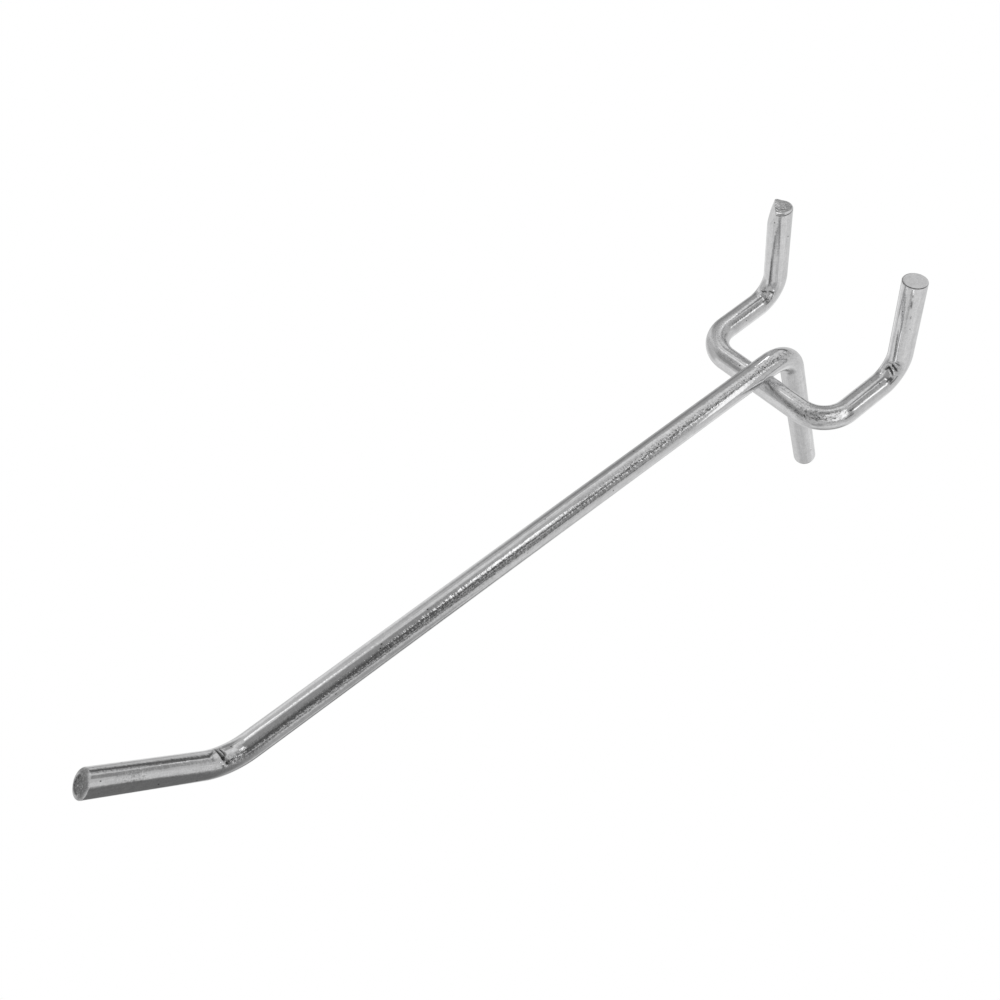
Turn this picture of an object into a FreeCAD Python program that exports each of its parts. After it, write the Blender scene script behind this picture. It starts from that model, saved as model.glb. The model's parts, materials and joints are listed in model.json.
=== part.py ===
# Pegboard hook: two bent steel wires welded at one crossing.
# The frame: +Z is up along the board, +Y points into the board and -Y out along the arm.
# The origin lies on the board's front face, midway between the two board holes.

import FreeCAD, Part
import math
import os

from FreeCAD import Vector

# Driving dimensions, in millimetres and degrees

wire_diameter = 3.76            # both wires, a nine gauge steel wire
hole_spacing = 25.4             # between the two board holes, centre to centre

# Arm wire: leg down the board's face, arm, and upturned tip
leg_length = 33.4               # from the leg's corner down to its end
leg_bend_radius = 6.0           # centre line of the bend between leg and arm
leg_end_rounding = 0.9
arm_length = 103.4              # from the leg's corner to the tip's corner
arm_rise = 13.2                 # climb of the arm away from the board
tip_length = 21.1               # from the tip's corner to its end
tip_turn = 46.0                 # turn of the tip above the arm
tip_bend_radius = 8.7
tip_end_rounding = 0.5
tip_cut_slant = 5.0             # the sheared end leans back at its top
tip_cut_skew = 13.5             # and faces a little to the left

# Cross wire: crossbar under the arm, two stubs through the board, two pegs behind it
crossbar_standoff = 8.1         # from the board's face to the crossbar's axis
crossbar_bend_radius = 4.9
stub_length = 16.0              # from the crossbar's axis to the peg's axis
stub_droop = 11.4               # fall of the stubs towards the back
peg_bend = 89.0                 # turn from a stub up into its peg
peg_bend_radius = 4.2
left_peg_length = 17.6          # from the stub's axis to the peg's end
right_peg_length = 18.7
left_peg_end_rounding = 0.25
right_peg_cut_slant = 8.0       # the sheared end falls towards the back, and stays sharp

# Pinched bevel on the end of the left peg
bevel_length = 3.0              # along the peg
bevel_depth = 1.0               # into the wire at the very end
bevel_turn = 50.0               # from straight outwards round towards the board

# Weld between the arm and the crossbar
weld_sink = 0.15                # how far the two wires are pressed into each other
weld_bead_radius = 1.75         # reach of the squeezed-out metal from the middle of the contact

# Dents that the bending tool left on the inside of three bends
dent_nose_radius = 0.9
dent_width = 1.4
dent_depth = 0.2
tip_dent_angle = 20.0           # along the tip's bend, from its outer end
peg_dent_angle = 35.0           # along each peg's bend, from the stub

wire_radius = wire_diameter / 2
cutter_size = 3 * wire_diameter
left, right = -1, 1
across = Vector(1, 0, 0)
inwards = Vector(0, 1, 0)
upright = Vector(0, 0, 1)


def tangent(degrees):
    return math.tan(math.radians(degrees))


def turned(direction, axis, degrees):
    """A direction turned about an axis."""
    return FreeCAD.Rotation(axis, degrees).multVec(direction)


def rounded_corner(before, corner, after, bend_radius):
    """Start, centre, axis and angle of the arc that rounds a corner of a centre line."""
    arriving = (corner - before).normalize()
    leaving = (after - corner).normalize()
    angle = math.degrees(arriving.getAngle(leaving))
    start = corner - arriving * (bend_radius * tangent(angle / 2))
    axis = arriving.cross(leaving).normalize()
    centre = start + axis.cross(arriving) * bend_radius
    return start, centre, axis, angle


def round_run(start, end):
    """A straight stretch of wire."""
    along = end - start
    return Part.makeCylinder(wire_radius, along.Length, start, along)


def bent_wire(corners, bend_radii):
    """A round wire of straight runs, with an arc at each inner corner."""
    pieces = []
    run_start = corners[0]
    for before, corner, after, bend_radius in zip(corners, corners[1:], corners[2:], bend_radii):
        start, centre, axis, angle = rounded_corner(before, corner, after, bend_radius)
        pieces.append(round_run(run_start, start))
        section = Part.Face(Part.Wire(Part.makeCircle(wire_radius, start, corner - before)))
        pieces.append(section.revolve(centre, axis, angle))
        run_start = centre + turned(start - centre, axis, angle)
    pieces.append(round_run(run_start, corners[-1]))
    return pieces[0].fuse(pieces[1:]).removeSplitter()


def beyond(point, normal):
    """A block that fills the space on the far side of a flat cut."""
    block = Part.makeBox(cutter_size, cutter_size, cutter_size, Vector(-cutter_size / 2, -cutter_size / 2, 0))
    block.Placement = FreeCAD.Placement(point, FreeCAD.Rotation(upright, normal))
    return block


def round_end(wire, end, rounding):
    """Rounds the rim of the flat face nearest to one end of a wire."""
    flats = [face for face in wire.Faces if face.Surface.TypeId == "Part::GeomPlane"]
    end_face = min(flats, key=lambda face: face.CenterOfMass.distanceToPoint(end))
    return wire.makeFillet(rounding, end_face.OuterWire.Edges)


def tool_dent(before, corner, after, bend_radius, dent_angle):
    """The round nose of the bending tool, pressed into the inside of a bend."""
    start, centre, axis, _ = rounded_corner(before, corner, after, bend_radius)
    outwards = turned((start - centre).normalize(), axis, dent_angle)
    inner_surface = centre + outwards * (bend_radius - wire_radius)
    nose_centre = inner_surface + outwards * (dent_depth - dent_nose_radius)
    return Part.makeCylinder(dent_nose_radius, dent_width, nose_centre - axis * (dent_width / 2), axis)


# Where the arm wire crosses over the crossbar

crossing = Vector(0, -crossbar_standoff, crossbar_standoff * tangent(stub_droop))
arm_direction = turned(-inwards, across, -arm_rise)
weld_normal = arm_direction.cross(across)
arm_over_crossbar = crossing + weld_normal * (wire_diameter - weld_sink)


def make_arm_wire():
    back_along_arm = (-wire_radius - arm_over_crossbar.y) / arm_direction.y
    leg_corner = arm_over_crossbar + arm_direction * back_along_arm
    leg_end = leg_corner - upright * leg_length
    tip_corner = leg_corner + arm_direction * arm_length
    tip_direction = turned(arm_direction, across, -tip_turn)
    tip_end = tip_corner + tip_direction * tip_length
    uncut_end = tip_end + tip_direction * wire_radius
    wire = bent_wire([leg_end, leg_corner, tip_corner, uncut_end], [leg_bend_radius, tip_bend_radius])

    tip_top = tip_direction.cross(across)
    cut_normal = tip_direction + tip_top * tangent(tip_cut_slant) + across * (left * tangent(tip_cut_skew))
    wire = wire.cut(beyond(tip_end, cut_normal))
    wire = wire.cut(tool_dent(tip_end, tip_corner, leg_corner, tip_bend_radius, tip_dent_angle))
    wire = round_end(wire, tip_end, tip_end_rounding)
    return round_end(wire, leg_end, leg_end_rounding)


def side_corners(side, peg_length):
    """Crossbar corner, stub corner and peg end on one side, with the stubs level."""
    crossbar_corner = crossing + across * (side * hole_spacing / 2)
    stub_corner = crossbar_corner + inwards * stub_length
    peg_end = stub_corner + turned(inwards, across, peg_bend) * peg_length
    return [crossbar_corner, stub_corner, peg_end]


def bevel_cutter(peg_end, peg_direction):
    """A block that shears a slanting flat off the side of a peg's end."""
    outwards = turned(across * left, upright, bevel_turn)
    outwards = (outwards - peg_direction * outwards.dot(peg_direction)).normalize()
    flat_normal = outwards * bevel_length + peg_direction * bevel_depth
    return beyond(peg_end + outwards * (wire_radius - bevel_depth), flat_normal)


def make_cross_wire(arm_wire):
    left_side = side_corners(left, left_peg_length)
    right_side = side_corners(right, right_peg_length)
    peg_direction = turned(inwards, across, peg_bend)
    peg_back = peg_direction.cross(across)
    left_end = left_side[-1]
    right_end = right_side[-1]
    uncut_right_end = right_end + peg_direction * wire_radius

    bend_radii = [peg_bend_radius, crossbar_bend_radius, crossbar_bend_radius, peg_bend_radius]
    wire = bent_wire(left_side[::-1] + right_side[:-1] + [uncut_right_end], bend_radii)
    for corners in (left_side, right_side):
        wire = wire.cut(tool_dent(*corners, peg_bend_radius, peg_dent_angle))

    wire = wire.cut(bevel_cutter(left_end, peg_direction))
    wire = wire.cut(beyond(right_end, peg_direction + peg_back * tangent(right_peg_cut_slant)))
    wire = round_end(wire, left_end, left_peg_end_rounding)
    wire.rotate(crossing, across, -stub_droop)
    return wire.cut(arm_wire)


def make_weld_bead(arm_wire, cross_wire):
    """The ring of metal squeezed out round the contact of the two wires."""
    contact = (crossing + arm_over_crossbar) * 0.5
    return Part.makeSphere(weld_bead_radius, contact).cut(arm_wire).cut(cross_wire)


arm_wire = make_arm_wire()
cross_wire = make_cross_wire(arm_wire)
weld_bead = make_weld_bead(arm_wire, cross_wire)

os.makedirs("parts", exist_ok=True)
for name, shape in [("arm_wire", arm_wire), ("cross_wire", cross_wire), ("weld_bead", weld_bead)]:
    shape.Solids[0].exportStep("parts/" + name + ".step")
    box = shape.optimalBoundingBox()
    print(name, len(shape.Solids), "solid,", round(shape.Volume, 2), "mm3, valid:", shape.isValid())
    print("  from", [round(v, 2) for v in (box.XMin, box.YMin, box.ZMin)])
    print("  to  ", [round(v, 2) for v in (box.XMax, box.YMax, box.ZMax)])
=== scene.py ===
# %% [markdown]
# # A pegboard hook in bright zinc plated wire
#
# The hook is two round steel wires, bent cold and welded where they cross, and then plated with zinc.
# Its whole look is in three things: the true line of the wires, the marks that bending, shearing and
# welding left on them, and what the bright plating mirrors. The steps below take them in that order.
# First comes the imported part, which says how large everything is and where it goes.

import json
import math

import bpy
import numpy as np
from mathutils import Matrix, Quaternion, Vector, noise


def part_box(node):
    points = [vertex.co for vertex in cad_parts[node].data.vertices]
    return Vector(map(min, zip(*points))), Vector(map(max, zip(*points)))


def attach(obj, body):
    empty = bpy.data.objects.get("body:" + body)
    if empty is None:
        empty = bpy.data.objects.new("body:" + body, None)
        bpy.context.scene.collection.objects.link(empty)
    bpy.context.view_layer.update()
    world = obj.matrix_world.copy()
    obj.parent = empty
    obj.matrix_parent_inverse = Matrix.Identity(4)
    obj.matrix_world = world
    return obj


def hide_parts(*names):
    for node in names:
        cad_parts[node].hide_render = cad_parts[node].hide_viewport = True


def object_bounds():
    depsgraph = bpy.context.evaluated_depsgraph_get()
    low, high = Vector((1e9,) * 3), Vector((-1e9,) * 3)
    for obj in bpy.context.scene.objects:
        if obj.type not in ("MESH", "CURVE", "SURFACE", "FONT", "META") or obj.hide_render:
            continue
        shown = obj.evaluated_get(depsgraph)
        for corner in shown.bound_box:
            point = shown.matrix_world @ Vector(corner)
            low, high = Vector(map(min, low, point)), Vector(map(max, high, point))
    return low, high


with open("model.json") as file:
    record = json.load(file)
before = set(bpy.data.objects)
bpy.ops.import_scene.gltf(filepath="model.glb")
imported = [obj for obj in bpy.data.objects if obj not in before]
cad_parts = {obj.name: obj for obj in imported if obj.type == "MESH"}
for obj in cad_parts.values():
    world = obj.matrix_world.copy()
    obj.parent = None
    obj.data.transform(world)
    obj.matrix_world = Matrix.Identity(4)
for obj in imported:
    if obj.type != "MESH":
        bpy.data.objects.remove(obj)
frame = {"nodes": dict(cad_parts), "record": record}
cad_low, cad_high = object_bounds()
mounts = {mount["name"]: mount for mount in frame["record"]["mounts"]}
print("nodes:", sorted(frame["nodes"]))

# %% [markdown]
# ## Sizes
#
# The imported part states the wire's radius, and where the straight ends of the pegs and of the tip run. The
# rest of the two centre lines follows from a few lengths, angles and bend radii. They could be drawn by hand
# as curves, but a bent wire is really a chain of straight runs with an arc at each corner. So the corners are
# found first, and every later step can ask where one of them is.

# %% Driving sizes
mm = 0.001
wire_radius = mounts["peg_left"]["dims"]["r_mm"] * mm
leg_bend_radius = 6.0 * mm
tip_bend_radius = 8.7 * mm
crossbar_bend_radius = 4.9 * mm
peg_bend_radius = 4.2 * mm
arm_rise = math.radians(13.2)
peg_bend = math.radians(89.0)
tip_length = 21.1 * mm
stub_length = 16.0 * mm
peg_lengths = (17.6 * mm, 18.7 * mm)
across = Vector((1, 0, 0))
off_board = Vector((0, -1, 0))
upright = Vector((0, 0, 1))


def in_mm(lengths):
    """Lengths as short numbers, to print."""
    return [round(float(length) / mm, 2) for length in lengths]


print("the part's box is", in_mm(cad_high - cad_low), "mm")
print("the wire's radius is", round(wire_radius / mm, 2), "mm")

# %% Corners of the two centre lines
def turned(direction, axis, angle):
    """A direction turned about an axis."""
    return Quaternion(axis, angle) @ direction


def run_start(mount):
    """Where the straight run of a pin begins, and its direction."""
    direction = Vector(mount["axis"]).normalized()
    return Vector(mount["pos_m"]) - direction * (mount["dims"]["length_mm"] * mm / 2), direction


arm_direction = turned(off_board, across, -arm_rise)
tip_start, tip_direction = run_start(mounts["arm_tip"])
tip_setback = tip_bend_radius * math.tan(arm_direction.angle(tip_direction) / 2)
tip_corner = tip_start - tip_direction * tip_setback
leg_corner = tip_corner - arm_direction * ((tip_corner.y + wire_radius) / arm_direction.y)
leg_end = Vector((0, -wire_radius, cad_low.z))
tip_end = tip_corner + tip_direction * tip_length

peg_starts = [run_start(mounts["peg_left"]), run_start(mounts["peg_right"])]
peg_direction = peg_starts[0][1]
stub_direction = turned(peg_direction, across, -peg_bend)
peg_setback = peg_bend_radius * math.tan(peg_bend / 2)
stub_corners = [start - peg_direction * peg_setback for start, _ in peg_starts]
crossbar_corners = [corner - stub_direction * stub_length for corner in stub_corners]
peg_ends = [corner + peg_direction * length for corner, length in zip(stub_corners, peg_lengths)]
crossing = (crossbar_corners[0] + crossbar_corners[1]) / 2
weld_normal = arm_direction.cross(across)
print("leg corner at", in_mm(leg_corner), "crossing at", in_mm(crossing))

# %% [markdown]
# ## Walking along a bent wire
#
# A curve object with a round bevel would give the tube, but not the control over each point that dents,
# sheared ends and burrs need. So the wire is a grid of our own: stations along the centre line, each with its
# own pair of side directions, and points round every station. Carrying the side directions through each arc
# keeps the grid from twisting, and the same grid laid out straight later gives the plating its grain.

# %% Stations along a centre line
run_spacing = 0.35 * mm
arc_spacing = 0.09 * mm
fewest_arc_steps = 8


class CentreLine:
    """Straight runs and arcs, with a distance, a place and three directions at each station."""

    def __init__(self, corners, bend_radii, first_side):
        self.distance = []
        self.centre = []
        self.along = []
        self.side = []
        self.travelled = 0.0
        place = corners[0]
        side = first_side.normalized()
        for before, corner, after, radius in zip(corners, corners[1:], corners[2:], bend_radii):
            arriving = (corner - before).normalized()
            leaving = (after - corner).normalized()
            turn = arriving.angle(leaving)
            start = corner - arriving * (radius * math.tan(turn / 2))
            axis = arriving.cross(leaving).normalized()
            hub = start + axis.cross(arriving) * radius
            self.add_run(place, start, side)
            self.add_arc(start, hub, axis, turn, arriving, side, radius)
            place = hub + turned(start - hub, axis, turn)
            side = turned(side, axis, turn)
        self.add_run(place, corners[-1], side)
        self.add_station(0.0, corners[-1], (corners[-1] - place).normalized(), side)
        self.distance = np.array(self.distance)
        self.centre = np.array(self.centre)
        self.along = np.array(self.along)
        self.side = np.array(self.side)
        self.top = np.cross(self.along, self.side)

    def add_station(self, beyond, place, along, side):
        self.distance.append(self.travelled + beyond)
        self.centre.append(place)
        self.along.append(along)
        self.side.append(side)

    def add_run(self, start, end, side):
        length = (end - start).length
        along = (end - start).normalized()
        steps = max(1, round(length / run_spacing))
        for step in range(steps):
            self.add_station(length * step / steps, start + along * (length * step / steps), along, side)
        self.travelled += length

    def add_arc(self, start, hub, axis, turn, arriving, side, radius):
        steps = max(fewest_arc_steps, round(radius * turn / arc_spacing))
        for step in range(steps):
            angle = turn * step / steps
            place = hub + turned(start - hub, axis, angle)
            self.add_station(radius * angle, place, turned(arriving, axis, angle), turned(side, axis, angle))
        self.travelled += radius * turn


arm_line = CentreLine([leg_end, leg_corner, tip_corner, tip_end], [leg_bend_radius, tip_bend_radius], across)
cross_line = CentreLine(
    [peg_ends[0], stub_corners[0], crossbar_corners[0], crossbar_corners[1], stub_corners[1], peg_ends[1]],
    [peg_bend_radius, crossbar_bend_radius, crossbar_bend_radius, peg_bend_radius],
    across,
)
print("arm wire and cross wire are", in_mm([arm_line.travelled, cross_line.travelled]), "mm long")

# %% [markdown]
# ## Marks in the surface
#
# The tools that bent and cut the wire left lines, dents and rubbed places on it. They could be bump in the
# material, but bump can't change an outline. So every mark is a change of the wire's radius over a patch of
# the grid. A press mark is a line with raised lips, as metal has that was pushed aside, and its bottom is
# darkened: painted shade in the crease. On a scratch the same darkening is the plating's own colour, and on
# some other lines it is painted shade and painted reflection, as noted where each is placed. A hollow is the
# soft dent of the bending tool's nose. A place on a wire is given as millimetres along it from its start, and
# degrees round it from its side towards its top.

# %% Press marks
def patch(distances, angles, place, lean=0.0):
    """Coordinates along a mark and across it. lean turns it from round the wire to along the wire."""
    away = distances - place[0] * mm
    around = (np.mod(angles - math.radians(place[1]) + math.pi, 2 * math.pi) - math.pi) * wire_radius
    length_wise = around * math.cos(lean) + away * math.sin(lean)
    width_wise = away * math.cos(lean) - around * math.sin(lean)
    return length_wise, width_wise


class PressMark:
    """A line pressed in between two places, width and depth in millimetres. Its darkening, 0 to 1, is painted
    shade in a crease.
    """

    lip_share = 0.4
    stain_and_shade_falloff = 1.6

    def __init__(self, first, second, width, depth, stain_and_shade):
        around = math.radians(second[1] - first[1]) * wire_radius
        away = (second[0] - first[0]) * mm
        self.length = math.hypot(around, away)
        self.lean = math.atan2(away, around)
        self.middle = ((first[0] + second[0]) / 2, (first[1] + second[1]) / 2)
        self.width = width * mm
        self.depth = depth * mm
        self.stain_and_shade = stain_and_shade

    def profile(self, distances, angles):
        """How many widths a point is from the line, and how much of the line is there."""
        length_wise, width_wise = patch(distances, angles, self.middle, self.lean)
        return np.abs(width_wise) / self.width, np.exp(-(2 * length_wise / self.length) ** 6)

    def change(self, distances, angles):
        widths, present = self.profile(distances, angles)
        groove = np.exp(-(2 * widths) ** 2)
        lips = self.lip_share * np.exp(-(2 * (widths - 1)) ** 2)
        return self.depth * present * (lips - groove)

    # The darkening is painted shade along a crease, and the plating's own colour along a scratch.
    def darkening(self, distances, angles):
        widths, present = self.profile(distances, angles)
        return self.stain_and_shade * present * np.exp(-(self.stain_and_shade_falloff * widths) ** 2)


shallow_line = PressMark((0, 0), (2, 0), 0.4, 0.1, 1.0)
line_middle = shallow_line.change(1.0 * mm, 0.0)
print("in its middle, a press mark 0.1 mm deep changes the radius by", round(line_middle / mm, 3), "mm")

# %% Hollows, rubbed patches and slow unevenness
def hollow(place, length, width, depth):
    """A smooth dent, long round the wire, in millimetres. With a depth below zero it is a raised spot."""
    def shape(distances, angles):
        length_wise, width_wise = patch(distances, angles, place)
        fade = np.exp(-(2 * length_wise / (length * mm)) ** 2 - (2 * width_wise / (width * mm)) ** 2)
        return -depth * mm * fade

    return shape


def rubbed_patch(place, length, width, amount):
    """Where the surface is ragged, long along the wire and narrow round it, in millimetres."""
    def shape(distances, angles):
        around, away = patch(distances, angles, place)
        return amount * np.exp(-(2 * away / (length * mm)) ** 4 - (2 * around / (width * mm)) ** 2)

    return shape


def unevenness(seed):
    """Drawn and bent wire is never quite round or straight, by a few thousandths of a millimetre."""
    deepest = 0.012 * mm
    wave_length = 6.0 * mm
    waves_round = 0.8
    ripple_height = 0.3
    ripple_rate = 3.1

    def shape(distances, angles):
        change = np.empty(distances.shape)
        for row, column in np.ndindex(distances.shape):
            place = Vector((
                distances[row, column] / wave_length,
                math.cos(angles[row, column]) * waves_round + seed,
                math.sin(angles[row, column]) * waves_round,
            ))
            change[row, column] = noise.noise(place) + ripple_height * noise.noise(place * ripple_rate)
        return (np.clip(change, -1, 1) - 1) * deepest / 2

    return shape


def together(shapes):
    """The sum of several changes of radius."""
    return lambda distances, angles: sum(shape(distances, angles) for shape in shapes)


dent_middle = hollow((1, 0), 2.0, 1.5, 0.06)(1.0 * mm, 0.0)
print("in its middle, a hollow 0.06 mm deep changes the radius by", round(dent_middle / mm, 3), "mm")

# %% [markdown]
# ## Sheared ends
#
# Each wire is cut by a shear. The blade rolls the rim over where it comes in, and the metal tears off rough
# on the far side, sometimes with a burr. A boolean cut would give the flat face, but not the soft rim, and it
# would spoil the grid. So the end is made from the same grid: the last stations lean over into the plane of
# the cut, a few rows roll round the rim, and the rest close the face in smaller rings. Each point also keeps
# how broken the metal is there, so that the finish can be duller and darker on the break. A thin lip may
# stand round the break. The corner under a sharp rim is darkened with painted shade, and on the tip the
# rolled rim takes painted shade, partly as the break's darker finish.

# %% A sheared end
points_round = 144
round_angles = np.linspace(0, 2 * math.pi, points_round, endpoint=False)


class ShearedEnd:
    """One cut end: its plane, the roll of its rim, and how rough the break is.

    near_side is where the lips stand and the rim takes the most painted shade. Each lip has a radius, a
    height and a width, in millimetres.
    """

    break_fade = 0.15 * mm
    burr_reach = 0.75 * mm
    lumps_per_mm = 1.9
    rim_contrast = 1.5

    def __init__(self, place, normal, rolled, roll_side, roughness, seed):
        self.place = np.array(place)
        self.normal = np.array(normal.normalized())
        self.least_roll, self.most_roll = rolled
        self.roll_side = math.radians(roll_side)
        self.roughness = roughness
        self.seed = seed
        self.break_centre = (0.0, 0.0)
        self.break_radius = wire_radius
        self.burr_side = 0.0
        self.burr_height = 0.0
        self.break_strength = 1.0
        self.lips = []
        self.near_side = math.radians(50)
        self.rim_shade = 0.0
        self.rim_spread = 0.3
        self.rim_break_shade = 0.0

    def roll(self):
        """How far the rim is rolled over, all the way round."""
        share = (1 + np.cos(round_angles - self.roll_side)) / 2
        return self.least_roll + (self.most_roll - self.least_roll) * share

    def broken(self, side, top):
        """The break's strength inside it, and zero outside it."""
        away = np.hypot(side - self.break_centre[0], top - self.break_centre[1])
        return np.clip((self.break_radius - away) / self.break_fade + 0.5, 0, 1) * self.break_strength

    def lumps(self, side, top):
        """Rough lumps of the break, which only cut into the face."""
        places = [Vector((x / mm, y / mm, self.seed)) * self.lumps_per_mm for x, y in zip(side, top)]
        heights = np.array([noise.fractal(place, 1.0, 2.0, 3) for place in places])
        return (np.minimum(heights, 1.0) - 1.0) * self.roughness

    def height(self, side, top):
        """How far the face stands out: lumps of the break, lips on the near side, and the burr."""
        burr_x = wire_radius * math.cos(self.burr_side)
        burr_y = wire_radius * math.sin(self.burr_side)
        near_burr = np.exp(-((side - burr_x) ** 2 + (top - burr_y) ** 2) / self.burr_reach ** 2)
        rough = self.broken(side, top) * self.lumps(side, top)
        near = np.clip(np.cos(np.arctan2(top, side) - self.near_side), 0, 1)
        for lip_radius, lip_height, lip_width in self.lips:
            away = (np.hypot(side, top) - lip_radius * mm) / (lip_width * mm)
            rough = rough + near * lip_height * mm * np.exp(-away ** 2)
        return rough + near_burr * self.burr_height

    def rim_break_shading(self):
        """How much of the break's darker finish the rim takes, all the way round: painted shade on the rolled
        rim.
        """
        return self.rim_break_shade * np.clip(np.cos(round_angles - self.near_side) + 0.5, 0, 1)

    def rim_painted_shade(self):
        """How much painted shade the rim takes, all the way round: most on the near side."""
        nearness = np.cos(round_angles - self.near_side)
        return self.rim_shade * np.clip(self.rim_contrast * nearness + self.rim_spread, 0, 1)


print("points round a wire are", round(math.tau * wire_radius / points_round / mm, 3), "mm apart")

# %% A flat sheared off the side
limit_blend = 0.06 * mm


def flat_on_side(place, normal):
    """A flat sheared off the side of a wire, as a limit to its radius."""
    place = np.array(place)
    normal = np.array(normal.normalized())
    grazing = 0.02
    no_limit = 1.0

    def limit(centres, outwards):
        facing = outwards @ normal
        room = (place - centres) @ normal
        return np.where(facing > grazing, room / np.maximum(facing, grazing), no_limit)

    return limit


def smooth_least(first, second, blend):
    """The smaller of two values, rounded over where they are near each other."""
    share = np.clip(0.5 + 0.5 * (second - first) / blend, 0, 1)
    return second + (first - second) * share - blend * share * (1 - share)


deepest_blend = -smooth_least(0.0, 0.0, limit_blend)
print("the edge of a flat is rounded over by", round(deepest_blend / mm, 3), "mm")

# %% Rows of points over an end
lean_length = 3.6 * mm
lean_spacing = 0.12 * mm
fewest_lean_rows = 4
rim_rows = 8
face_rows = 22


def end_rows(line, end, station, forwards, limits):
    """Rows of points from a station near the end of a wire, over its rim and across its face."""
    centre = line.centre[station]
    along = line.along[station] * forwards
    side = line.side[station]
    top = line.top[station]
    outwards = np.cos(round_angles)[:, None] * side + np.sin(round_angles)[:, None] * top
    roll = end.roll()

    def cut_distance(radius):
        gap = (end.place - centre) @ end.normal - (outwards @ end.normal) * radius
        return gap / (along @ end.normal)

    def limited(radius, beyond):
        centres = centre + along * beyond[:, None]
        for limit in limits:
            radius = smooth_least(radius, limit(centres, outwards), limit_blend)
        return radius

    def raised(radius):
        return end.height(np.cos(round_angles) * radius, np.sin(round_angles) * radius)

    rows = []
    full = np.full(points_round, wire_radius)
    nothing = np.zeros(points_round)
    lean_rows = max(fewest_lean_rows, round((cut_distance(full).mean() - roll.mean()) / lean_spacing))
    lift = np.maximum(raised(full), 0)
    # The burr rises only close to the rim, so its height comes in with a high power of the way there
    for step in range(1, lean_rows + 1):
        share = step / lean_rows
        beyond = (cut_distance(full) - roll) * share + lift * share ** 6
        rows.append((limited(full, beyond), beyond, nothing, nothing))
    for step in range(1, rim_rows + 1):
        angle = math.pi / 2 * step / rim_rows
        radius = full - roll * (1 - math.cos(angle))
        beyond = cut_distance(radius) - roll * (1 - math.sin(angle)) + lift
        # The rim rows take painted shade, as the break's finish and as darkening, most on the near side.
        broken = end.rim_break_shading() * math.sin(angle) ** 2
        stained_and_shaded = end.rim_painted_shade() * math.sin(2 * angle)
        rows.append((limited(radius, beyond), beyond, broken, stained_and_shaded))
    rim_radius = rows[-1][0]
    for step in range(1, face_rows):
        radius = rim_radius * (1 - step / face_rows)
        beyond = cut_distance(radius) + raised(radius)
        broken = end.broken(np.cos(round_angles) * radius, np.sin(round_angles) * radius)
        rows.append((radius, beyond, broken, nothing))
    return centre, along, outwards, rows


print("an end's rim takes", rim_rows, "rows and its face", face_rows)

# %% [markdown]
# ## From rows to a mesh
#
# A real wire has no seam and no hole, and neither has its mesh: rows of points joined by faces, with a fan of
# triangles at each end. Every point also keeps its place on the straightened wire. A texture could follow
# the room instead, but then its grain would run straight through the bends, where real grain turns with them.

# %% A closed mesh that keeps values at its points
def add_object(name, data):
    """A new object in the scene, with the mesh or camera that it shows."""
    item = bpy.data.objects.new(name, data)
    bpy.context.scene.collection.objects.link(item)
    return item


def store(mesh, name, values):
    """Keeps a number or a vector for every point, for the finish to read."""
    values = np.asarray(values, dtype=np.float32)
    kind = "FLOAT" if values.ndim == 1 else "FLOAT_VECTOR"
    layer = mesh.attributes.new(name, kind, "POINT")
    layer.data.foreach_set("value" if values.ndim == 1 else "vector", values.ravel())


def ring_faces(rows, around):
    """Faces between rows of points, each row closed to a ring."""
    faces = []
    for low in range(0, (rows - 1) * around, around):
        high = low + around
        for column in range(around):
            following = (column + 1) % around
            faces.append((low + column, low + following, high + following, high + column))
    return faces


def closed_mesh(name, rows, laid_out, values):
    """Faces between rows of points, with a fan at each end, and what the finish needs at every point."""
    count, around, _ = rows.shape
    points = np.vstack([rows.reshape(-1, 3), rows[0].mean(axis=0), rows[-1].mean(axis=0)])
    flat = np.vstack([laid_out.reshape(-1, 3), laid_out[0].mean(axis=0), laid_out[-1].mean(axis=0)])
    hubs = [0, -1]
    faces = ring_faces(count, around)
    start_hub = count * around
    finish_hub = start_hub + 1
    top = (count - 1) * around
    for column in range(around):
        following = (column + 1) % around
        faces.append((start_hub, following, column))
        faces.append((finish_hub, top + column, top + following))
    mesh = bpy.data.meshes.new(name)
    mesh.from_pydata(points.tolist(), [], faces)
    mesh.shade_smooth()
    store(mesh, "straight", flat / mm)
    for value_name, value in values.items():
        store(mesh, value_name, np.concatenate([value.ravel(), value[hubs].mean(axis=1)]))
    return add_object(name, mesh)


print("each row of a wire's mesh adds", points_round, "faces")

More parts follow.
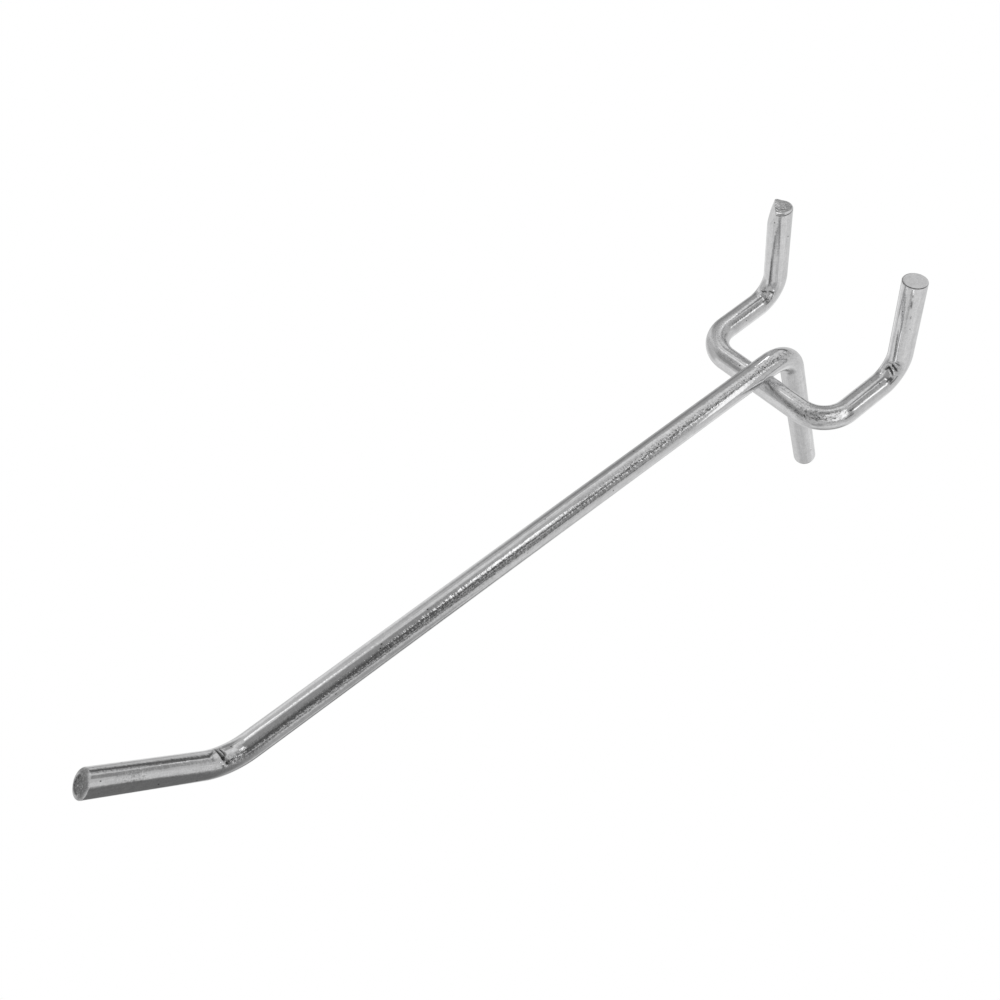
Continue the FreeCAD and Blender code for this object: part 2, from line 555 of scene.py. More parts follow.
# %% A tube that ends in sheared faces
def tube(name, line, start_end, finish_end, shape, wear, stain_and_shade, limits=()):
    """A closed wire. shape, wear and the darkening of marks, partly painted shade, give a value for grids of
    distances and angles.
    """
    first = int(np.searchsorted(line.distance, lean_length))
    last = int(np.searchsorted(line.distance, line.distance[-1] - lean_length))
    distances = np.repeat(line.distance[first:last + 1, None], points_round, axis=1)
    grid_angles = np.repeat(round_angles[None, :], last + 1 - first, axis=0)
    change = shape(distances, grid_angles)
    outwards = (
        np.cos(round_angles)[None, :, None] * line.side[first:last + 1, None, :]
        + np.sin(round_angles)[None, :, None] * line.top[first:last + 1, None, :]
    )
    rows = list(line.centre[first:last + 1, None, :] + outwards * (wire_radius + change)[:, :, None])
    laid_out = list(np.stack([distances, np.cos(grid_angles), np.sin(grid_angles)], axis=-1))
    breaks_and_rim_shade = list(np.zeros(distances.shape))
    stains_and_shades = list(np.zeros(distances.shape))

    for end, station, forwards in ((start_end, first, -1), (finish_end, last, 1)):
        centre, along, around, ring_rows = end_rows(line, end, station, forwards, limits)
        for radius, beyond, broken, stained_and_shaded in ring_rows:
            far = line.distance[station] + forwards * beyond
            change = shape(far[None, :], round_angles[None, :])[0]
            share = radius / wire_radius
            ring = centre + along * beyond[:, None] + around * (radius + change * share)[:, None]
            flat = np.stack([far, np.cos(round_angles) * share, np.sin(round_angles) * share], axis=-1)
            place = len(rows) if forwards > 0 else 0
            rows.insert(place, ring)
            laid_out.insert(place, flat)
            breaks_and_rim_shade.insert(place, broken)
            stains_and_shades.insert(place, stained_and_shaded)

    laid_out = np.array(laid_out)
    far = laid_out[:, :, 0]
    angles = np.arctan2(laid_out[:, :, 2], laid_out[:, :, 1])
    # The darkening holds the marks' own colour as well as painted shade and painted reflections.
    values = {
        "broken": np.array(breaks_and_rim_shade),
        "worn": wear(far, angles),
        "stained_and_shaded": np.clip(np.array(stains_and_shades) + stain_and_shade(far, angles), 0, 1),
    }
    return closed_mesh(name, np.array(rows), laid_out * [1, wire_radius, wire_radius], values)


print("the stations lean over into a cut within", round(lean_length / mm, 1), "mm of a wire's end")

# %% [markdown]
# ## The arm wire
#
# The long wire: its short leg lies against the board, the arm carries the goods and the tip keeps them on.
# The bending tool nipped the inside of the tip's bend: two sharp lines across it, and two pits beside them.
# The tip's end rolled over far on its lower left side, and the break is a rough patch up to the right. Such
# marks could be sculpted by hand, but as lines with a place and a depth each can be moved by itself.

# %% Cuts and marks of the arm wire
tip_cut_slant = math.tan(math.radians(5.0))
tip_cut_skew = math.tan(math.radians(13.5))
tip_top = tip_direction.cross(across)
tip_cut_normal = tip_direction + tip_top * tip_cut_slant - across * tip_cut_skew

leg_cut = ShearedEnd(leg_end, -upright, (0.85 * mm, 0.95 * mm), 0.0, 0.01 * mm, 3.0)
leg_cut.break_radius = 0.8 * mm
tip_cut = ShearedEnd(tip_end, tip_cut_normal, (0.54 * mm, 0.76 * mm), -135.0, 0.16 * mm, 7.0)
tip_cut.break_centre = (0.15 * mm, 0.15 * mm)
tip_cut.break_radius = 1.55 * mm
# The tip's rolled rim is darkened with painted shade: as darkening, and as the break's darker finish.
tip_cut.rim_shade = 0.60
tip_cut.rim_break_shade = 1.0
tip_cut.rim_spread = 2.5

# The nips' dark bottoms are painted shade in the creases.
tip_presses = [
    PressMark((136.85, 116), (136.5, 58), 0.42, 0.12, 1.0),
    PressMark((136.2, 110), (135.9, 64), 0.36, 0.10, 1.0),
    PressMark((136.45, 68), (136.3, 48), 0.55, 0.12, 1.0),
    PressMark((136.15, 46), (136.0, 30), 0.50, 0.10, 1.0),
    PressMark((135.9, 43), (134.6, 45), 0.30, 0.03, 0.8),
]
weld_lip = hollow((39.55, -2), 1.2, 0.7, -0.07)
# A dark line along the arm's lower edge by the weld, on a faint groove: a painted contact shadow.
weld_shadow_line = PressMark((39.9, -1), (43.0, 15), 0.15, 0.008, 0.95)
scratches = [
    PressMark((76.2, 108), (77.8, 92), 0.30, 0.010, 0.25),
    PressMark((40.2, 116), (41.4, 100), 0.30, 0.012, 0.25),
]
# Darkening on the arm's underside beside the weld, and low on the leg's bend: painted shade.
arm_underside_shade = [
    PressMark((39.5, -50), (44.5, -50), 3.0, 0.0, 0.25),
    PressMark((29.5, -36), (33.5, -36), 3.0, 0.0, 0.20),
]
arm_marks = tip_presses + [weld_shadow_line] + arm_underside_shade + scratches
tip_hollow = hollow((136.2, 84), 2.2, 1.5, 0.03)
arm_shape = together([unevenness(1.0), tip_hollow, weld_lip] + [mark.change for mark in arm_marks])
arm_stain_and_shade = together([mark.darkening for mark in arm_marks])
arm_wear = together([
    rubbed_patch((48, 64), 30, 1.0, 0.95),
    rubbed_patch((66, 55), 26, 1.0, 0.95),
    rubbed_patch((37.2, 62), 8, 1.2, 0.8),
    rubbed_patch((108, 38), 60, 1.3, 0.7),
    rubbed_patch((150.2, 48), 4.0, 1.0, 0.6),
    rubbed_patch((134.8, 48), 2.4, 1.4, 0.6),
    rubbed_patch((80, 60), 320, 40, 0.09),
])
print("the arm wire has", len(arm_marks), "lines and stains")

# %% Build the arm wire
arm_wire = tube("arm_wire_plated", arm_line, leg_cut, tip_cut, arm_shape, arm_wear, arm_stain_and_shade)
print("arm wire:", len(arm_wire.data.polygons), "faces")

# %% [markdown]
# ## The cross wire
#
# The short wire runs up one peg, through the board, along the crossbar and back. A slanting cut took the side
# off the left peg's end and pushed up a burr at the corner. The right peg is sheared nearly square. On the
# inside of both peg bends the tool left a creased dent. It could be a mirrored half, but no two bends of the
# real wire are marked alike, so each side has lines of its own.

# %% Cuts of the cross wire
bevel_length = 3.0
bevel_depth = 1.0
bevel_turn = math.radians(50.0)
right_peg_cut_slant = math.tan(math.radians(8.0))
peg_back = peg_direction.cross(across)

bevel_out = turned(-across, upright, bevel_turn)
bevel_out = (bevel_out - peg_direction * bevel_out.dot(peg_direction)).normalized()
bevel_normal = bevel_out * bevel_length + peg_direction * bevel_depth
bevel_place = peg_ends[0] + bevel_out * (wire_radius - bevel_depth * mm)

left_cut = ShearedEnd(peg_ends[0], peg_direction, (0.08 * mm, 0.16 * mm), 40.0, 0.07 * mm, 11.0)
left_cut.break_centre = (-0.55 * mm, -0.65 * mm)
left_cut.break_radius = 1.85 * mm
left_cut.break_strength = 0.62
left_cut.burr_side = math.radians(-158)
left_cut.burr_height = 0.42 * mm
left_cut.lips = [(1.36, 0.17, 0.34), (0.70, 0.10, 0.24)]
# The corner under the left peg's rim is darkened with painted shade.
left_cut.rim_shade = 0.8
right_normal = peg_direction + peg_back * right_peg_cut_slant
right_cut = ShearedEnd(peg_ends[1], right_normal, (0.12 * mm, 0.18 * mm), 90.0, 0.03 * mm, 13.0)
right_cut.break_strength = 0.12
right_cut.near_side = math.radians(115)
# The corner under the right peg's rim is darkened with painted shade.
right_cut.rim_shade = 0.9
left_bevel = flat_on_side(bevel_place, bevel_normal)
print("the left peg's flat is", bevel_length, "mm long, and", bevel_depth, "mm deep at the peg's end")

# %% Marks of the cross wire
# The creases' dark bottoms are painted shade.
left_presses = [
    PressMark((17.9, 92), (16.9, 74), 0.42, 0.08, 0.95),
    PressMark((16.55, 64), (16.4, 34), 0.32, 0.06, 1.0),
    PressMark((16.5, 34), (17.6, 30), 0.22, 0.04, 0.6),
]
# Shallow lines along the left peg, darkened as a painted reflection of a thin dark line in the room.
left_reflected_lines = [
    PressMark((0.3, 51), (5.2, 46), 0.20, 0.008, 0.75),
    PressMark((4.8, 46), (8.0, 48), 0.18, 0.004, 0.40),
    PressMark((7.9, 73), (15.9, 77), 0.26, 0.008, 0.90),
    PressMark((9.3, 47), (15.3, 46), 0.16, 0.003, 0.30),
]
# The creases' dark bottoms, and the broad darkening over the inside of the bend, are painted shade.
right_presses = [
    PressMark((68.9, 84), (67.5, 130), 0.36, 0.05, 1.0),
    PressMark((69.9, 90), (68.6, 136), 0.36, 0.05, 0.95),
    PressMark((67.5, 82), (68.8, 90), 0.36, 0.05, 0.90),
    PressMark((70.7, 104), (70.1, 134), 0.40, 0.04, 0.75),
    PressMark((69.3, 92), (68.9, 132), 2.20, 0.0, 0.35),
]
# Shallow lines along the right peg, darkened as a painted reflection of a thin dark line in the room.
right_reflected_lines = [
    PressMark((71.6, 98), (77.4, 92), 0.22, 0.010, 0.90),
    PressMark((82.4, 127), (83.8, 124), 0.24, 0.008, 0.90),
    PressMark((84.4, 124), (85.0, 124), 0.20, 0.006, 0.60),
    PressMark((80.2, 134), (80.9, 133), 0.22, 0.006, 0.60),
]
# Darker bands on the crossbar round the weld, curving from it towards the right corner.
crossbar_dark_bands = [
    PressMark((43.9, 104), (45.2, 119), 0.26, 0.004, 0.65),
    PressMark((45.0, 117), (49.2, 132), 0.55, 0.002, 0.50),
    PressMark((48.8, 131), (51.6, 141), 0.60, 0.002, 0.50),
    PressMark((51.2, 142), (55.8, 128), 0.55, 0.003, 0.60),
    PressMark((33.3, 119), (38.2, 114), 0.50, 0.002, 0.55),
    PressMark((42.0, 98), (46.5, 108), 1.60, 0.0, 0.22),
]
dull_corner = PressMark((24.5, 110), (33.5, 110), 5.0, 0.0, 0.20)
cross_lines = left_presses + left_reflected_lines + right_presses + right_reflected_lines + crossbar_dark_bands + [dull_corner]
cross_hollows = [
    hollow((18.4, 70), 1.8, 1.6, 0.06),
    hollow((16.95, 54), 0.6, 0.5, -0.05),
    hollow((69.0, 104), 2.2, 1.8, 0.06),
]
cross_shape = together([unevenness(5.0)] + cross_hollows + [mark.change for mark in cross_lines])
cross_stain_and_shade = together([mark.darkening for mark in cross_lines])
cross_wear = together([
    rubbed_patch((43, 60), 60, 3.0, 0.20),
    rubbed_patch((53.0, 130), 8, 2.2, 0.9),
    rubbed_patch((69, 104), 3.0, 2.4, 0.8),
    rubbed_patch((17.6, 68), 2.6, 2.4, 0.6),
    rubbed_patch((43, 60), 200, 40, 0.10),
])
print("the cross wire has", len(cross_lines), "lines and stains")

# %% Build the cross wire
cross_wire = tube(
    "cross_wire_plated", cross_line, left_cut, right_cut, cross_shape, cross_wear, cross_stain_and_shade, [left_bevel]
)
print("cross wire:", len(cross_wire.data.polygons), "faces")

# %% [markdown]
# ## The weld
#
# Current and pressure melt the two wires into each other, and a little metal is squeezed out round the
# contact. Between two crossed wires it sets as a waisted ring: wide where it wets each wire and narrow
# between them. A torus squeezed by hand would leave a gap on one side or the other, so the ring is worked out
# from the two wires' own surfaces. It is uneven, as metal is that sets by itself.

# %% Build the weld bead
bead_low, bead_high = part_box("weld_bead")
weld_sink = 0.15 * mm
bead_centre = crossing + weld_normal * (wire_radius - weld_sink / 2)
bead_reach = (bead_high.x - bead_low.x) / 2


def make_bead():
    """Rings of points from the crossbar up to the arm. Each reaches a little way into the wires."""
    rows = 24
    around = 96
    waist_share = 0.55
    rim_share = 0.70
    flare = 2.4
    lump_height = 0.08
    lump_rate = 1.6
    grain_scale = 1.5
    hidden = 0.1 * mm
    half_gap = wire_radius - weld_sink / 2
    grid = []
    for row in range(rows + 1):
        share = row / rows
        ring = []
        for column in range(around):
            turn = 2 * math.pi * column / around
            out = across * math.cos(turn) + arm_direction * math.sin(turn)
            lumps = noise.noise(out * lump_rate) * lump_height
            waist = bead_reach * (waist_share + lumps)
            rim = bead_reach * (rim_share + lumps / 2)
            reach = waist + (rim - waist) * abs(2 * share - 1) ** flare
            low = -half_gap + math.sqrt(wire_radius ** 2 - (reach * math.sin(turn)) ** 2) - hidden
            high = half_gap - math.sqrt(wire_radius ** 2 - (reach * math.cos(turn)) ** 2) + hidden
            ring.append(bead_centre + out * reach + weld_normal * (low + (high - low) * share))
        grid.append(ring)
    grid = np.array(grid)
    spread = (grid - np.array(bead_centre)) * grain_scale
    nothing = np.zeros(grid.shape[:2])
    values = {"broken": nothing, "worn": nothing, "stained_and_shaded": nothing}
    return closed_mesh("weld_bead_plated", grid, spread, values)


weld_bead = make_bead()
print("weld bead:", len(weld_bead.data.polygons), "faces")

# %% [markdown]
# ## Shader sums in plain Python
#
# The finishes and the light are node trees. They could be wired by hand, but are easier to read as sums. A
# Signal wraps one socket, and the usual operators add the Math nodes for it. A Bench is the tree, and its add
# method makes every kind of node: settings first, then sockets.

# %% A value on its way through a tree
class Signal:
    """A number, colour or vector on its way through a node tree."""

    def __init__(self, bench, socket):
        self.bench = bench
        self.socket = socket

    def maths(self, operation, first, second=None):
        values = {0: first} if second is None else {0: first, 1: second}
        return self.bench.add("ShaderNodeMath", {"operation": operation}, values)

    def __add__(self, other):
        return self.maths("ADD", self, other)

    def __radd__(self, other):
        return self.maths("ADD", other, self)

    def __sub__(self, other):
        return self.maths("SUBTRACT", self, other)

    def __rsub__(self, other):
        return self.maths("SUBTRACT", other, self)

    def __mul__(self, other):
        return self.maths("MULTIPLY", self, other)

    def __rmul__(self, other):
        return self.maths("MULTIPLY", other, self)

    def __abs__(self):
        return self.maths("ABSOLUTE", self)

    def arcsine(self):
        return self.maths("ARCSINE", self)

    def arctangent(self, other):
        return self.maths("ARCTAN2", self, other)

    def along(self, direction):
        """How far a vector reaches along a direction."""
        return self.bench.add(
            "ShaderNodeVectorMath", {"operation": "DOT_PRODUCT"}, {0: self, 1: direction}, "Value"
        )

    def stretched(self, factors):
        """A vector with each part multiplied."""
        return self.bench.add("ShaderNodeVectorMath", {"operation": "MULTIPLY"}, {0: self, 1: factors})

    def ramp(self, low, high, to_low=0.0, to_high=1.0):
        """Smoothly from to_low to to_high as the signal goes from low to high."""
        return self.bench.add(
            "ShaderNodeMapRange",
            {"interpolation_type": "SMOOTHSTEP"},
            {"Value": self, "From Min": low, "From Max": high, "To Min": to_low, "To Max": to_high},
        )


print("a Signal can be added, taken away, multiplied, measured and ramped")

# %% A tree and its nodes
class Bench:
    """A node tree, and the one way in which nodes are added to it."""

    def __init__(self, tree):
        self.tree = tree
        tree.nodes.clear()

    def add(self, kind, settings=None, values=None, output=0):
        node = self.tree.nodes.new(kind)
        for name, setting in (settings or {}).items():
            setattr(node, name, setting)
        for name, value in (values or {}).items():
            if isinstance(value, Signal):
                self.tree.links.new(value.socket, node.inputs[name])
            else:
                node.inputs[name].default_value = value
        return Signal(self, node.outputs[output]) if node.outputs else None

    def mix_colours(self, share, first, second):
        """Between two colours."""
        return self.add("ShaderNodeMix", {"data_type": "RGBA"}, {0: share, 6: first, 7: second}, 2)

    def glow(self, level):
        """A surface that gives off an even grey light."""
        return self.add("ShaderNodeEmission", {}, {"Color": (level, level, level, 1), "Strength": 1.0})

    def send_out(self, shader):
        """Makes a shader the material's surface."""
        self.add("ShaderNodeOutputMaterial", {}, {"Surface": shader})


def new_material(name):
    """A material, and the bench for its empty tree."""
    material = bpy.data.materials.new(name)
    material.use_nodes = True
    return material, Bench(material.node_tree)


def grey(level):
    """The linear light of a screen's grey from 0 to 255."""
    share = level / 255
    return share / 12.92 if share <= 0.04045 else ((share + 0.055) / 1.055) ** 2.4


print("a mid grey of 128 is", round(grey(128), 3), "of full light")

# %% [markdown]
# ## Bright zinc plating
#
# Zinc plated wire mirrors the room a little softly. The steel under it keeps fine lines from the drawing die,
# the plating adds a slight orange peel, and near the weld and the bends the surface is ragged from heat and
# tools. A plain metal shader would be a flawless mirror, and no plating is that even. So all of this is noise
# on the straightened wire, in millimetres, and its grain follows every bend. The broken metal of the sheared
# ends took the plating badly: it is darker, duller and crumbled, and the same darker finish on the tip's
# rolled rim is painted shade. The marks darken the plating: in their own colour on scratches, and as painted
# shade in creases, under rims and beside the weld, and as painted reflections on the pegs. The darkening is
# solid in the middle of a mark and comes apart into grains at its edge, and rubbed places have burnt
# speckles.

# %% What varies over the plating
bright = (0.94, 0.94, 0.945, 1)
worn_bright = (0.68, 0.68, 0.685, 1)
# The break's darker colour; on the tip's rolled rim it is painted shade.
broken_metal_and_rim_shade = (0.28, 0.28, 0.28, 1)
pit = (0.16, 0.16, 0.16, 1)
# The darkest colour: the marks' own colour, and painted shade and painted reflections.
stain_and_shade = (0.07, 0.07, 0.07, 1)


class PlatedSurface:
    """What the mesh keeps at every point, and noise on the straightened wire, as signals."""

    def __init__(self, bench):
        self.bench = bench
        self.place = bench.add("ShaderNodeAttribute", {"attribute_name": "straight"}, output="Vector")
        # On the tip's rolled rim this share of the break's finish is painted shade.
        self.broken = self.kept("broken")
        self.worn = self.kept("worn")
        # How dark a point is made: the marks' own colour, painted shade in creases and under rims, and
        # painted reflections.
        self.stained_and_shaded = self.kept("stained_and_shaded")
        self.streaks = self.cloud(0.30, 8.0, 2.0, 0.6)
        self.crumble = self.cloud(3.5, 3.5, 4.0, 0.7)
        self.grain = self.cloud(5.0, 6.0, 2.0, 0.7)

    def kept(self, name):
        """A number that the mesh keeps at every point."""
        return self.bench.add("ShaderNodeAttribute", {"attribute_name": name}, output="Fac")

    def cloud(self, per_mm_along, per_mm_around, detail=2.0, roughness=0.5):
        """Noise between zero and one, with its grain stretched along the wire."""
        return self.bench.add(
            "ShaderNodeTexNoise",
            {"noise_dimensions": "3D"},
            {
                "Vector": self.place.stretched((per_mm_along, per_mm_around, per_mm_around)),
                "Scale": 1.0,
                "Detail": detail,
                "Roughness": roughness,
            },
        )

    def relief(self):
        """How high the surface stands, in millimetres."""
        drawn_lines = self.cloud(0.16, 3.2, 3.0)
        ripple = self.cloud(0.8, 1.3)
        orange_peel = self.cloud(2.2, 2.6)
        ragged = self.cloud(2.3, 1.7, 2.0, 0.6)
        even = drawn_lines * 0.008 + self.streaks * 0.0025 + ripple * 0.014 + orange_peel * 0.006
        return even + self.worn * ragged * 0.075 + self.broken * self.crumble * 0.10

    def darkening(self):
        """Darkening by marks and painted shade: grains of it at a mark's edge, and burnt speckles where it is
        rubbed.
        """
        speckle = self.cloud(3.1, 4.0, 3.0, 0.7)
        burnt = self.worn * speckle.ramp(0.38, 0.52, 0.60, 0.0)
        solid = 1 - (1 - self.stained_and_shaded) * self.grain.ramp(0.4, 0.6, 0.0, 1.5)
        return self.stained_and_shaded * solid + burnt

    def colour(self):
        """Bright plating, greyer where it is worn, with pits, discoloured marks, painted shade and broken
        metal.
        """
        blotches = self.cloud(1.1, 1.4, 2.0, 0.6)
        cells = {"Vector": self.place.stretched((0.42, 0.6, 0.6)), "Scale": 1.0}
        specks = self.bench.add("ShaderNodeTexVoronoi", {}, cells, "Distance")
        wear = self.streaks.ramp(0.3, 0.7) * 0.35 + blotches.ramp(0.3, 0.7) * 0.3
        wear = wear + self.grain.ramp(0.35, 0.65) * 0.35
        plating = self.bench.mix_colours(wear, bright, worn_bright)
        pitted = self.bench.mix_colours(specks.ramp(0.04, 0.08, 1.0, 0.0), plating, pit)
        # Mixing in the darkest colour paints shade and reflections as well as the marks' own colour.
        stained_and_shaded_plating = self.bench.mix_colours(self.darkening(), pitted, stain_and_shade)
        # On the tip's rolled rim the break's colour is painted shade.
        torn_and_rim_shade = self.broken * self.crumble.ramp(0.3, 0.5)
        return self.bench.mix_colours(torn_and_rim_shade, stained_and_shaded_plating, broken_metal_and_rim_shade)

    def dullness(self):
        """Patches of softer plating, and dull break faces, darkened marks and painted shade."""
        patches = self.cloud(0.22, 0.5, 3.0, 0.6)
        even = patches.ramp(0.3, 0.75, 0.05, 0.10)
        return even + self.broken * 0.30 + self.stained_and_shaded.ramp(0.0, 0.3, 0.0, 0.25)


print("bright plating is", round(bright[0] / stain_and_shade[0], 1), "times as light as a stain")

# %% The finish, and the three pieces that carry it
def zinc_plating():
    material, bench = new_material("bright_zinc_plating")
    surface = PlatedSurface(bench)
    bump = bench.add("ShaderNodeBump", {}, {"Strength": 1.0, "Distance": mm, "Height": surface.relief()})
    shader = bench.add("ShaderNodeBsdfPrincipled", {}, {
        "Base Color": surface.colour(),
        "Metallic": 1.0,
        "Roughness": surface.dullness(),
        "Normal": bump,
    })
    bench.send_out(shader)
    return material


zinc = zinc_plating()
for piece, node in ((arm_wire, "arm_wire"), (cross_wire, "cross_wire"), (weld_bead, "weld_bead")):
    piece.data.materials.append(zinc)
    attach(piece, "root")
    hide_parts(node)
print("finish on", [piece.name for piece in (arm_wire, cross_wire, weld_bead)])

# %% [markdown]
# ## What the wire mirrors
#
# A round mirror shows the whole room squeezed into its width. The bright and dark bands on the hook are soft
# boxes, and the gaps between them. Area lamps could stand in for the boxes, but not for the dark gaps, which
# draw the wire just as much. So the light is a room of soft-edged panels. Each is given by the direction in
# which it hangs, its size, how it is turned and how grey it is. The later ones hang in front of the earlier.

# %% One soft panel
def bearing(longitude, latitude):
    """A direction: 0 is into the board, 90 is to the right, and latitude is upwards, in degrees."""
    turn = math.radians(longitude)
    lift = math.radians(latitude)
    return Vector((math.sin(turn) * math.cos(lift), math.cos(turn) * math.cos(lift), math.sin(lift)))


def panel_mask(direction, longitude, latitude, width, height, turn, softness):
    """One inside a panel and zero outside it. Sizes are in degrees."""
    centre = bearing(longitude, latitude)
    level = bearing(longitude + 90, 0)
    steep = level.cross(centre)
    steep = steep if steep.z > 0 else -steep
    panel_right = level * math.cos(math.radians(turn)) + steep * math.sin(math.radians(turn))
    panel_up = steep * math.cos(math.radians(turn)) - level * math.sin(math.radians(turn))
    sideways = direction.along(panel_right).arctangent(direction.along(centre))
    upwards = direction.along(panel_up).arcsine()
    edge = math.radians(softness) / 2
    inside_width = (math.radians(width) / 2 - abs(sideways)).ramp(-edge, edge)
    inside_height = (math.radians(height) / 2 - abs(upwards)).ramp(-edge, edge)
    return inside_width * inside_height


print("a longitude of 180 points away from the board:", [round(part, 2) for part in bearing(180, 0)])

# %% The panels of the room
# Each has a grey, longitude, latitude, width, height, turn and softness. A grey over 255 is a lit lamp.
panels = {
    "ceiling": (148, 2, 68, 50, 14, 0, 7),
    "ceiling_right": (144, 48, 61, 34, 13, -25, 7),
    "ceiling_left": (212, -74, 65, 66, 12, 0, 12),
    "ceiling_front": (180, -2, 57, 26, 8, 0, 8),
    "left_wall": (142, -62, 5, 20, 34, 0, 12),
    "left_upper_wall": (164, -49, 27, 16, 24, 20, 10),
    "left_low_wall": (176, -70, -30, 24, 24, 0, 12),
    "far_left_box": (226, -85, 4, 12, 74, 8, 8),
    "left_floor": (190, -66, -50, 30, 18, 0, 12),
    "side_gap": (164, -35, 15, 12, 44, 0, 5),
    "side_box": (216, -12, 16, 31, 52, 0, 4),
    "front_strip": (226, -10, 45, 66, 8, 0, 7),
    "left_high_box": (222, -46, 50, 18, 7, 40, 7),
    "crown_gap": (160, 30, 39, 20, 9, -30, 7),
    "right_gap": (150, 68, 14, 15, 24, 0, 8),
    "dark_gap": (104, 50, 31, 14, 12, -30, 5),
    "dark_wall": (88, 65, 41, 26, 16, -30, 7),
    "dark_shelf": (118, 62, 53, 20, 9, -25, 6),
    "right_corner": (92, 78, 30, 16, 40, -10, 8),
    "left_soft_box": (275, -62, 56, 14, 6, 40, 5),
    "main_soft_box": (292, 35, 53, 17, 6, -28, 3),
    "crown_box": (222, 46, 45, 10, 5, -36, 3),
    "strip_box": (290, 50, 15, 6, 17, -12, 3),
    "window": (182, 80, 8, 15, 7, -25, 5),
    "window_sill": (112, 77, -3, 26, 9, 0, 6),
    "rail": (70, 72, 4, 8, 3, -30, 3),
    "low_gap": (86, -30, -9, 38, 9, 0, 9),
    "low_box": (210, 43, -15, 22, 12, -20, 9),
    "low_wall": (138, 6, -3, 24, 9, 0, 9),
    "left_low_box": (232, -56, -33, 10, 16, 0, 8),
    "left_corner_low": (250, -92, -43, 20, 12, 0, 9),
    "back_gap": (150, -141, 43, 34, 24, 20, 14),
    "table_glow": (236, 10, -68, 40, 14, 0, 14),
    "under_shade": (120, 130, -80, 30, 16, 0, 14),
    "back_low": (220, -118, -37, 76, 16, 0, 10),
    "right_low": (222, 105, -42, 40, 14, 0, 10),
    "leg_shade": (190, 150, -61, 50, 14, 0, 26),
    "back_light": (225, -152, -8, 24, 36, 0, 14),
}
print("the room has", len(panels), "panels")

# %% Light the room
def sine(degrees):
    return math.sin(math.radians(degrees))


def make_room():
    """Three greys from the floor to the ceiling, with the panels in front of them."""
    upper = grey(160)
    middle = grey(192)
    lower = grey(212)
    world = bpy.data.worlds.new("studio")
    bpy.context.scene.world = world
    world.use_nodes = True
    bench = Bench(world.node_tree)
    direction = bench.add("ShaderNodeTexCoord", {}, {}, "Generated")
    height = direction.along(upright)
    light = height.ramp(sine(52), sine(70), middle, upper)
    light = light + height.ramp(sine(-40), sine(-5), lower - middle, 0.0)
    for level, *place in panels.values():
        mask = panel_mask(direction, *place)
        light = light * (1 - mask) + mask * grey(level)
    background = bench.add("ShaderNodeBackground", {}, {"Color": light, "Strength": 1.0})
    bench.add("ShaderNodeOutputWorld", {}, {"Surface": background})
    return world


studio = make_room()
print("the light has", len(studio.node_tree.nodes), "nodes")

# %% [markdown]
# ## The camera
#
# The photograph looks down on the hook from its right. The camera is rolled so that the arm runs down to the
# lower left. It could be placed by eye, but on thin wire an error of a pixel or two shows, so these values
# were fitted to the hook's outline. Azimuth, elevation and roll say where it looks from. The focal length
# says how strong the perspective is: the tip is nearer than the pegs, and its wire looks a third thicker.

# %% Camera at the photograph's place
camera_azimuth = math.radians(76.6)
camera_elevation = math.radians(56.8)
camera_roll = math.radians(-31.57)
camera_distance = 180.08 * mm
camera_slide = Vector((-3.79, 17.70)) * mm
camera_focus = Vector((0, -60.0, 0)) * mm
picture_width = 1000
pixel_focal_length = 1186.0
sensor_width = 36.0

towards_camera = Vector((
    math.sin(camera_azimuth) * math.cos(camera_elevation),
    -math.cos(camera_azimuth) * math.cos(camera_elevation),
    math.sin(camera_elevation),
))
level_right = Vector((math.cos(camera_azimuth), math.sin(camera_azimuth), 0))
camera_right = turned(level_right, towards_camera, camera_roll)
camera_up = towards_camera.cross(camera_right)
camera_target = camera_focus + camera_right * camera_slide.x + camera_up * camera_slide.y
camera_place = camera_target + towards_camera * camera_distance

camera_data = bpy.data.cameras.new("camera")
camera_data.lens = pixel_focal_length * sensor_width / picture_width
camera_data.sensor_width = sensor_width
camera_data.clip_start = 0.005
camera_data.clip_end = 20.0
camera = add_object("camera", camera_data)
camera_turn = Matrix((camera_right, camera_up, towards_camera)).transposed()
camera.matrix_world = Matrix.Translation(camera_place) @ camera_turn.to_4x4()
bpy.context.scene.camera = camera
print("camera at", in_mm(camera_place), "lens", round(camera_data.lens, 2))

# %% [markdown]
# ## Four cards close by
#
# The underside of the tip is much darker than the arm's, though both face down. The arm's right side is
# darker than the pegs', and the right corner of the crossbar is lighter than the arm beside it. A far room
# looks the same from every place on the hook, so only something close by does that. A dark card hangs below
# the tip, a grey one beside the arm and a small white one at the corner, as a photographer would place them.
# A tiny one above the left peg lights the lips of its sheared face. The camera doesn't see the cards.

# %% How a card is made
def card_material(name, level):
    """An even glow that fades out towards the card's rim."""
    fade_start = 0.55
    material, bench = new_material(name)
    spread = bench.add("ShaderNodeAttribute", {"attribute_name": "spread"}, output="Vector")
    away = bench.add("ShaderNodeVectorMath", {"operation": "LENGTH"}, {0: spread}, "Value")
    clear = bench.add("ShaderNodeBsdfTransparent")
    faded = {0: away.ramp(fade_start, 1.0), 1: bench.glow(grey(level)), 2: clear}
    bench.send_out(bench.add("ShaderNodeMixShader", {}, faded))
    return material


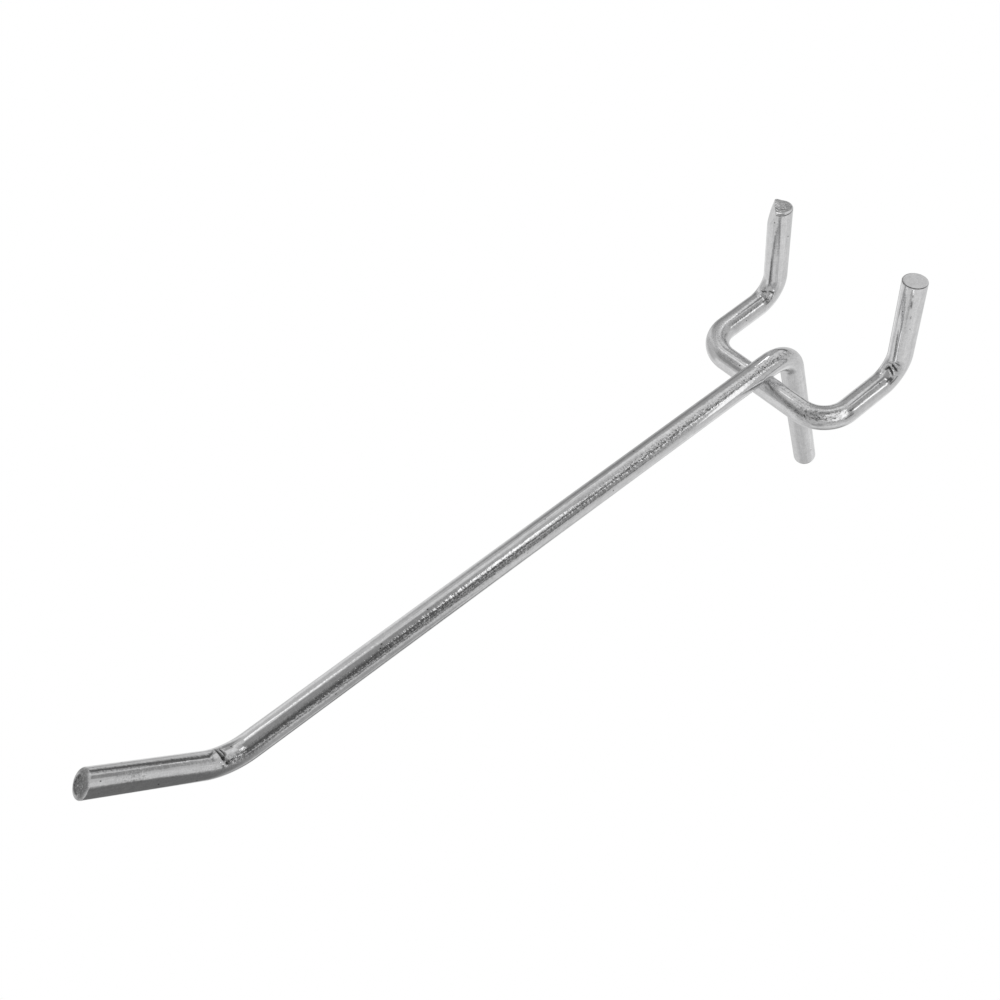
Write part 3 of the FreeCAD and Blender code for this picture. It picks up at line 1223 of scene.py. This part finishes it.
def make_card(name, middle, facing, beside, half_sizes, level):
    """A card that fades out towards its rim. beside is a direction to which its first side lies parallel."""
    card_right = (beside - facing * beside.dot(facing)).normalized()
    card_up = facing.cross(card_right)
    card_right = card_right * half_sizes[0]
    card_up = card_up * half_sizes[1]
    signs = [(-1, -1), (1, -1), (1, 1), (-1, 1)]
    mesh = bpy.data.meshes.new(name)
    mesh.from_pydata([middle + card_right * a + card_up * b for a, b in signs], [], [(0, 1, 2, 3)])
    store(mesh, "spread", np.array([(a, b, 0) for a, b in signs]))
    mesh.materials.append(card_material(name, level))
    card = add_object(name, mesh)
    card.visible_camera = False
    card.visible_shadow = False
    return card


print("a card of grey 110 glows with", round(grey(110), 3), "of full light")

# %% Hang the cards
dark_facing = bearing(112, -52)
dark_middle = tip_end - tip_direction * (8 * mm) + dark_facing * (22 * mm)
grey_facing = bearing(92, -42)
grey_middle = leg_corner + arm_direction * (90 * mm) + grey_facing * (75 * mm)
white_facing = bearing(98, 50)
white_middle = crossbar_corners[1] + Vector((1 * mm, 3 * mm, 0)) + white_facing * (9 * mm)
peg_facing = bearing(-46, 57)
peg_middle = peg_ends[0] + peg_facing * (9 * mm)
cards = [
    make_card("dark_card", dark_middle, dark_facing, tip_direction, (15 * mm, 38 * mm), level=110),
    make_card("grey_card", grey_middle, grey_facing, arm_direction, (46 * mm, 34 * mm), level=166),
    make_card("white_card", white_middle, white_facing, upright, (9 * mm, 8 * mm), level=272),
    make_card("peg_card", peg_middle, peg_facing, across, (3.2 * mm, 3.2 * mm), level=340),
]
print("cards:", [card.name for card in cards])

# %% [markdown]
# ## The backdrop
#
# The ground in the photograph is plain white, without a shadow. A white plane would end at a horizon, so the
# backdrop is a floor, far below, that curves up into walls. The wires don't mirror it, because their light is
# the room's.

# %% Floor, cove and walls
floor_height = -0.30
floor_reach = 1.5
cove_radius = 0.5
cove_steps = 12
wall_top = 2.0


def backdrop_profile():
    """Distances from the middle, with heights, over the floor, round the cove, up the wall and back."""
    profile = [(0.0, floor_height), (floor_reach, floor_height)]
    for step in range(1, cove_steps + 1):
        angle = math.pi / 2 * step / cove_steps
        out = floor_reach + cove_radius * math.sin(angle)
        up = floor_height + cove_radius * (1 - math.cos(angle))
        profile.append((out, up))
    wall_reach = floor_reach + cove_radius
    return profile + [(wall_reach, wall_top), (0.0, wall_top)]


def make_backdrop():
    """The profile turned about the upright through the origin."""
    around = 96
    profile = backdrop_profile()
    points = []
    for reach, height in profile:
        for column in range(around):
            turn = 2 * math.pi * column / around
            points.append((reach * math.cos(turn), reach * math.sin(turn), height))
    mesh = bpy.data.meshes.new("backdrop")
    mesh.from_pydata(points, [], ring_faces(len(profile), around))
    material, bench = new_material("white_backdrop")
    bench.send_out(bench.glow(1.0))
    mesh.materials.append(material)
    backdrop = add_object("backdrop", mesh)
    backdrop.visible_glossy = False
    backdrop.visible_diffuse = False
    backdrop.visible_transmission = False
    backdrop.visible_shadow = False
    return backdrop


backdrop = make_backdrop()
bpy.context.scene.view_settings.view_transform = "Standard"
print("backdrop:", len(backdrop.data.polygons), "faces")
